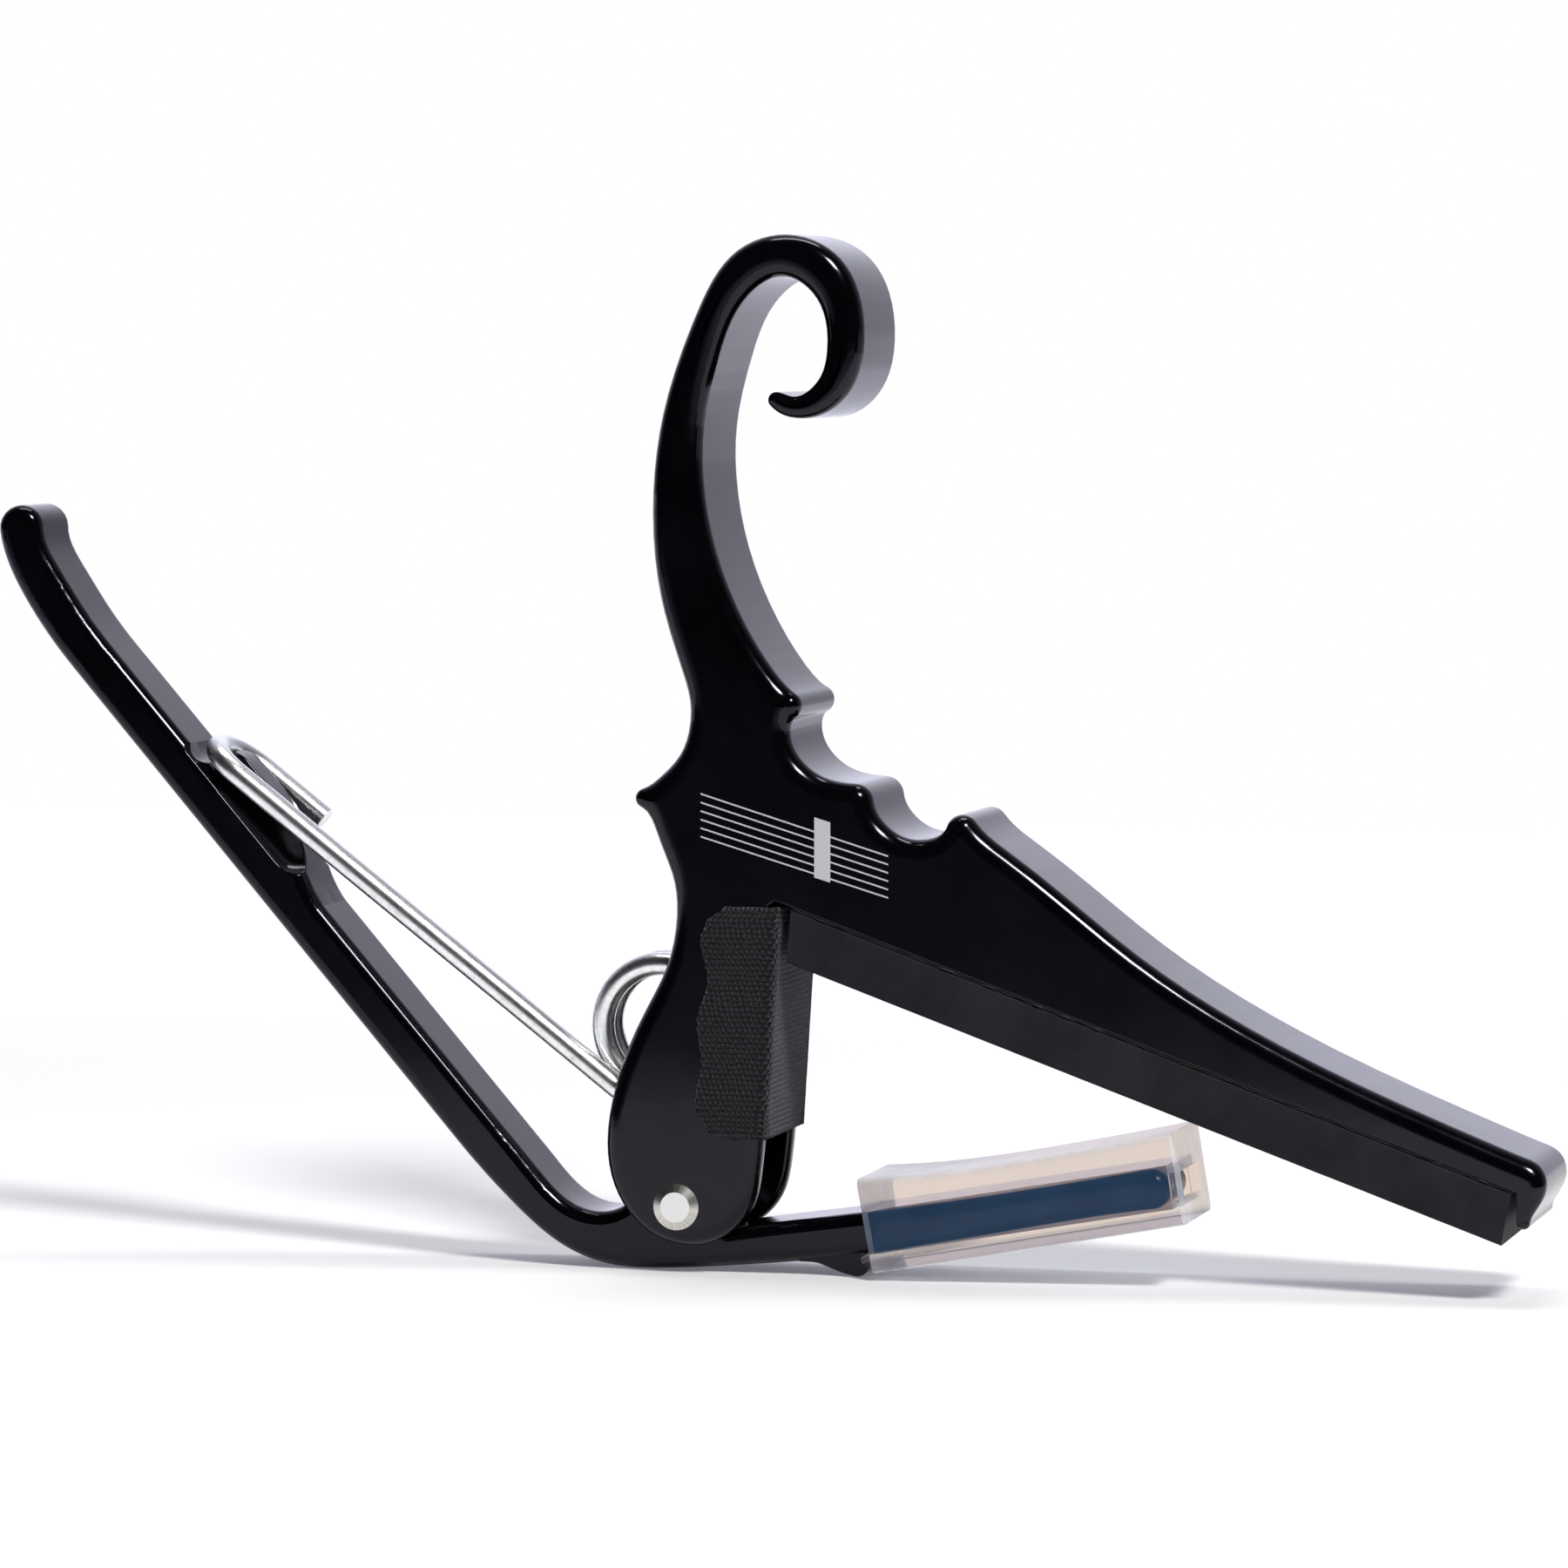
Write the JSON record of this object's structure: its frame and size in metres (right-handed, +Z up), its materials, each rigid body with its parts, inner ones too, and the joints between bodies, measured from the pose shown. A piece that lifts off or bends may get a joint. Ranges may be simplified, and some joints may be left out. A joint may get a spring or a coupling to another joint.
{
  "type": "guitar capo",
  "caption": "One-hand trigger guitar capo: hooked body with a fork and padded bar, squeeze lever on a pin, torsion spring, vinyl boot on the jaw",
  "frame": {"origin": "middle of the capo's length and thickness, on the surface it stands on", "axes": "+X along the bar from the handle's side to the bar's tip, +Y through the thickness to the back, +Z up to the hook"},
  "size_m": [0.1168, 0.012, 0.0755],
  "materials": {
    "black_coat": "glossy black powder coat on cast aluminium",
    "black_coat_lever": "glossy black powder coat on cast aluminium",
    "pin_steel": "nickel plated, turned bevel",
    "spring_wire": "zinc plated drawn wire",
    "pad_rubber": "matt black rubber",
    "pad_glue": "thin dark glue film",
    "milky_vinyl": "soft milky translucent vinyl",
    "black_weave": "woven tape with a frayed edge"
  },
  "bodies": {
    "body": {"clamp_body": "black_coat", "pivot_pin": "pin_steel", "pad_adhesive": "pad_glue", "string_pad": "pad_rubber", "spring_coil": "spring_wire", "fork_cloth": "black_weave"},
    "lever": {"squeeze_lever": "black_coat_lever", "neck_sleeve": "milky_vinyl"},
    "spring": {"spring_arm": "spring_wire"}
  },
  "joints": [
    {"name": "lever_pivot", "type": "hinge", "parent": "lever", "child": "body", "pos_m": [-0.00512, 0, 0.005], "axis": [0, -1, 0], "range_deg": [0, 30], "stiffness_Nm_per_rad": 1.1, "springref_deg": -34.38},
    {"name": "spring_turn", "type": "hinge", "parent": "body", "child": "spring", "pos_m": [-0.00722, 0, 0.0176], "axis": [0, 1, 0], "range_deg": [0, 39.75]}
  ],
  "couplings": [
    {"joint": "spring_turn", "follows": "lever_pivot", "ratio": 1.325}
  ]
}
